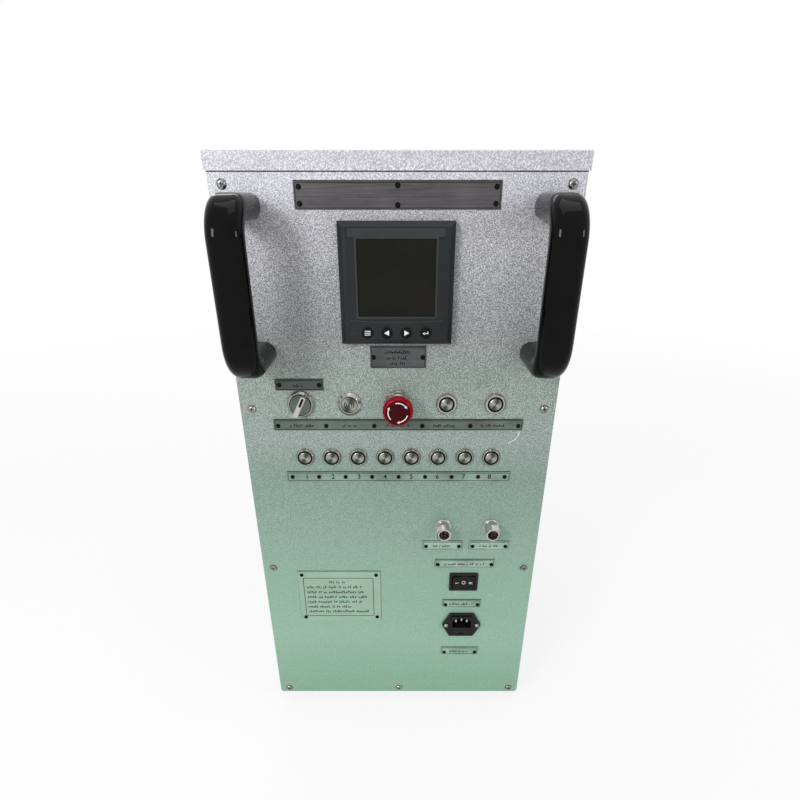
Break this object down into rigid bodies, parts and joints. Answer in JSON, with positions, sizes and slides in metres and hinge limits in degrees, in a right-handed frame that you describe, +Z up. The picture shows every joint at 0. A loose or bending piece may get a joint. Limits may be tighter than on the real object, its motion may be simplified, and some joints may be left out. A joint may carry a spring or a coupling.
{
  "type": "generator load bank",
  "caption": "Upright steel load bank cabinet with bow handles, meter, push buttons, stop button, fans, resistor elements, outlet slots and rear studs.",
  "frame": {"origin": "on the floor below the centre of the footprint", "axes": "+Z up, control panel facing -Y, +X to the right seen from the front"},
  "size_m": [0.3368, 0.722, 0.659],
  "materials": {
    "cabinet_paint": "sand-textured satin",
    "zinc_sheet": "zinc plated",
    "handle_black": "gloss",
    "foot_rubber": "matt",
    "screw_steel": "bright zinc",
    "rivet_black": "black oxide",
    "header_metal": "dark brushed",
    "strip_metal": "brushed",
    "notice_metal": "satin",
    "meter_plastic": "fine satin",
    "key_plastic": "satin",
    "screen_panel": "gloss",
    "collar_metal": "bright turned",
    "knob_metal": "satin plated",
    "cap_metal": "spun",
    "stem_plastic": "satin",
    "stop_red": "anodised red",
    "port_plate": "nickel plated",
    "insert_plastic": "satin",
    "pin_brass": "bright",
    "switch_black": "satin",
    "rocker_black": "semi-gloss",
    "fuse_body": "clear",
    "rotor_black": "satin black",
    "guard_wire": "bright zinc",
    "element_steel": "heat tinted",
    "gear_plastic": "matt",
    "board_plastic": "moulded",
    "stud_brass": "bright"
  },
  "bodies": {
    "cabinet": {"front_panel": "cabinet_paint", "rear_panel": "cabinet_paint", "left_side_panel": "cabinet_paint", "right_side_panel": "cabinet_paint", "top_cover": "cabinet_paint", "base_tray": "zinc_sheet", "inner_frame": "zinc_sheet", "resistor_frame": "zinc_sheet", "fan_frames": "zinc_sheet", "left_handle": "handle_black", "right_handle": "handle_black", "rear_handles": "handle_black", "rubber_feet": "foot_rubber", "panel_screws": "screw_steel", "plate_rivets": "rivet_black", "header_plate": "header_metal", "control_strip": "strip_metal", "load_strip": "strip_metal", "label_plates": "strip_metal", "notice_plate": "notice_metal", "meter_case": "meter_plastic", "meter_screen": "screen_panel", "selector_collar": "collar_metal", "fault_buzzer": "collar_metal", "stop_collar": "collar_metal", "button_bodies": "collar_metal", "port_shells": "port_plate", "port_inserts": "insert_plastic", "inlet_pins": "pin_brass", "rocker_frame": "switch_black", "inlet_socket": "switch_black", "fan_guards": "guard_wire", "resistor_elements": "element_steel", "control_gear": "gear_plastic", "terminal_board": "board_plastic", "terminal_studs": "stud_brass"},
    "load_key_1": {"load_button_1": "cap_metal"},
    "load_key_2": {"load_button_2": "cap_metal"},
    "load_key_3": {"load_button_3": "cap_metal"},
    "load_key_4": {"load_button_4": "cap_metal"},
    "load_key_5": {"load_button_5": "cap_metal"},
    "load_key_6": {"load_button_6": "cap_metal"},
    "load_key_7": {"load_button_7": "cap_metal"},
    "load_key_8": {"load_button_8": "cap_metal"},
    "supply_key": {"supply_button": "cap_metal"},
    "confirm_key": {"confirm_button": "cap_metal"},
    "meter_menu_key": {"menu_key": "key_plastic"},
    "meter_left_key": {"left_key": "key_plastic"},
    "meter_right_key": {"right_key": "key_plastic"},
    "meter_enter_key": {"enter_key": "key_plastic"},
    "selector": {"selector_knob": "knob_metal"},
    "stop_plunger": {"stop_stem": "stem_plastic"},
    "stop_button": {"stop_head": "stop_red"},
    "rocker": {"power_rocker": "rocker_black"},
    "fuse_carrier": {"fuse_drawer": "switch_black", "mains_fuse": "fuse_body"},
    "upper_rotor": {"upper_fan": "rotor_black"},
    "lower_rotor": {"lower_fan": "rotor_black"}
  },
  "joints": [
    {"name": "load_button_1_press", "type": "slide", "parent": "cabinet", "child": "load_key_1", "axis": [0, 1, 0], "range_m": [0, 0.0016], "stiffness_N_per_m": 300},
    {"name": "load_button_2_press", "type": "slide", "parent": "cabinet", "child": "load_key_2", "axis": [0, 1, 0], "range_m": [0, 0.0016], "stiffness_N_per_m": 300},
    {"name": "load_button_3_press", "type": "slide", "parent": "cabinet", "child": "load_key_3", "axis": [0, 1, 0], "range_m": [0, 0.0016], "stiffness_N_per_m": 300},
    {"name": "load_button_4_press", "type": "slide", "parent": "cabinet", "child": "load_key_4", "axis": [0, 1, 0], "range_m": [0, 0.0016], "stiffness_N_per_m": 300},
    {"name": "load_button_5_press", "type": "slide", "parent": "cabinet", "child": "load_key_5", "axis": [0, 1, 0], "range_m": [0, 0.0016], "stiffness_N_per_m": 300},
    {"name": "load_button_6_press", "type": "slide", "parent": "cabinet", "child": "load_key_6", "axis": [0, 1, 0], "range_m": [0, 0.0016], "stiffness_N_per_m": 300},
    {"name": "load_button_7_press", "type": "slide", "parent": "cabinet", "child": "load_key_7", "axis": [0, 1, 0], "range_m": [0, 0.0016], "stiffness_N_per_m": 300},
    {"name": "load_button_8_press", "type": "slide", "parent": "cabinet", "child": "load_key_8", "axis": [0, 1, 0], "range_m": [0, 0.0016], "stiffness_N_per_m": 300},
    {"name": "supply_button_press", "type": "slide", "parent": "cabinet", "child": "supply_key", "axis": [0, 1, 0], "range_m": [0, 0.0016], "stiffness_N_per_m": 300},
    {"name": "confirm_button_press", "type": "slide", "parent": "cabinet", "child": "confirm_key", "axis": [0, 1, 0], "range_m": [0, 0.0016], "stiffness_N_per_m": 300},
    {"name": "menu_key_press", "type": "slide", "parent": "cabinet", "child": "meter_menu_key", "axis": [0, 1, 0], "range_m": [0, 0.0008], "stiffness_N_per_m": 200},
    {"name": "left_key_press", "type": "slide", "parent": "cabinet", "child": "meter_left_key", "axis": [0, 1, 0], "range_m": [0, 0.0008], "stiffness_N_per_m": 200},
    {"name": "right_key_press", "type": "slide", "parent": "cabinet", "child": "meter_right_key", "axis": [0, 1, 0], "range_m": [0, 0.0008], "stiffness_N_per_m": 200},
    {"name": "enter_key_press", "type": "slide", "parent": "cabinet", "child": "meter_enter_key", "axis": [0, 1, 0], "range_m": [0, 0.0008], "stiffness_N_per_m": 200},
    {"name": "selector_turn", "type": "hinge", "parent": "cabinet", "child": "selector", "pos_m": [-0.1012, -0.28, 0.437], "axis": [0, 1, 0], "range_deg": [-54, 0]},
    {"name": "stop_press", "type": "slide", "parent": "cabinet", "child": "stop_plunger", "axis": [0, 1, 0], "range_m": [0, 0.004]},
    {"name": "stop_twist", "type": "hinge", "parent": "stop_plunger", "child": "stop_button", "pos_m": [0, -0.28, 0.437], "axis": [0, 1, 0], "range_deg": [0, 30], "stiffness_Nm_per_rad": 0.05},
    {"name": "rocker_tilt", "type": "hinge", "parent": "cabinet", "child": "rocker", "pos_m": [0.0805, -0.28, 0.2095], "axis": [0, 0, 1], "range_deg": [-12, 12]},
    {"name": "fuse_drawer_slide", "type": "slide", "parent": "cabinet", "child": "fuse_carrier", "axis": [0, -1, 0], "range_m": [0, 0.016]},
    {"name": "upper_fan_spin", "type": "hinge", "parent": "cabinet", "child": "upper_rotor", "pos_m": [-0.14, 0.065, 0.4835], "axis": [1, 0, 0], "continuous": true},
    {"name": "lower_fan_spin", "type": "hinge", "parent": "cabinet", "child": "lower_rotor", "pos_m": [-0.14, 0.065, 0.1955], "axis": [1, 0, 0], "continuous": true}
  ]
}
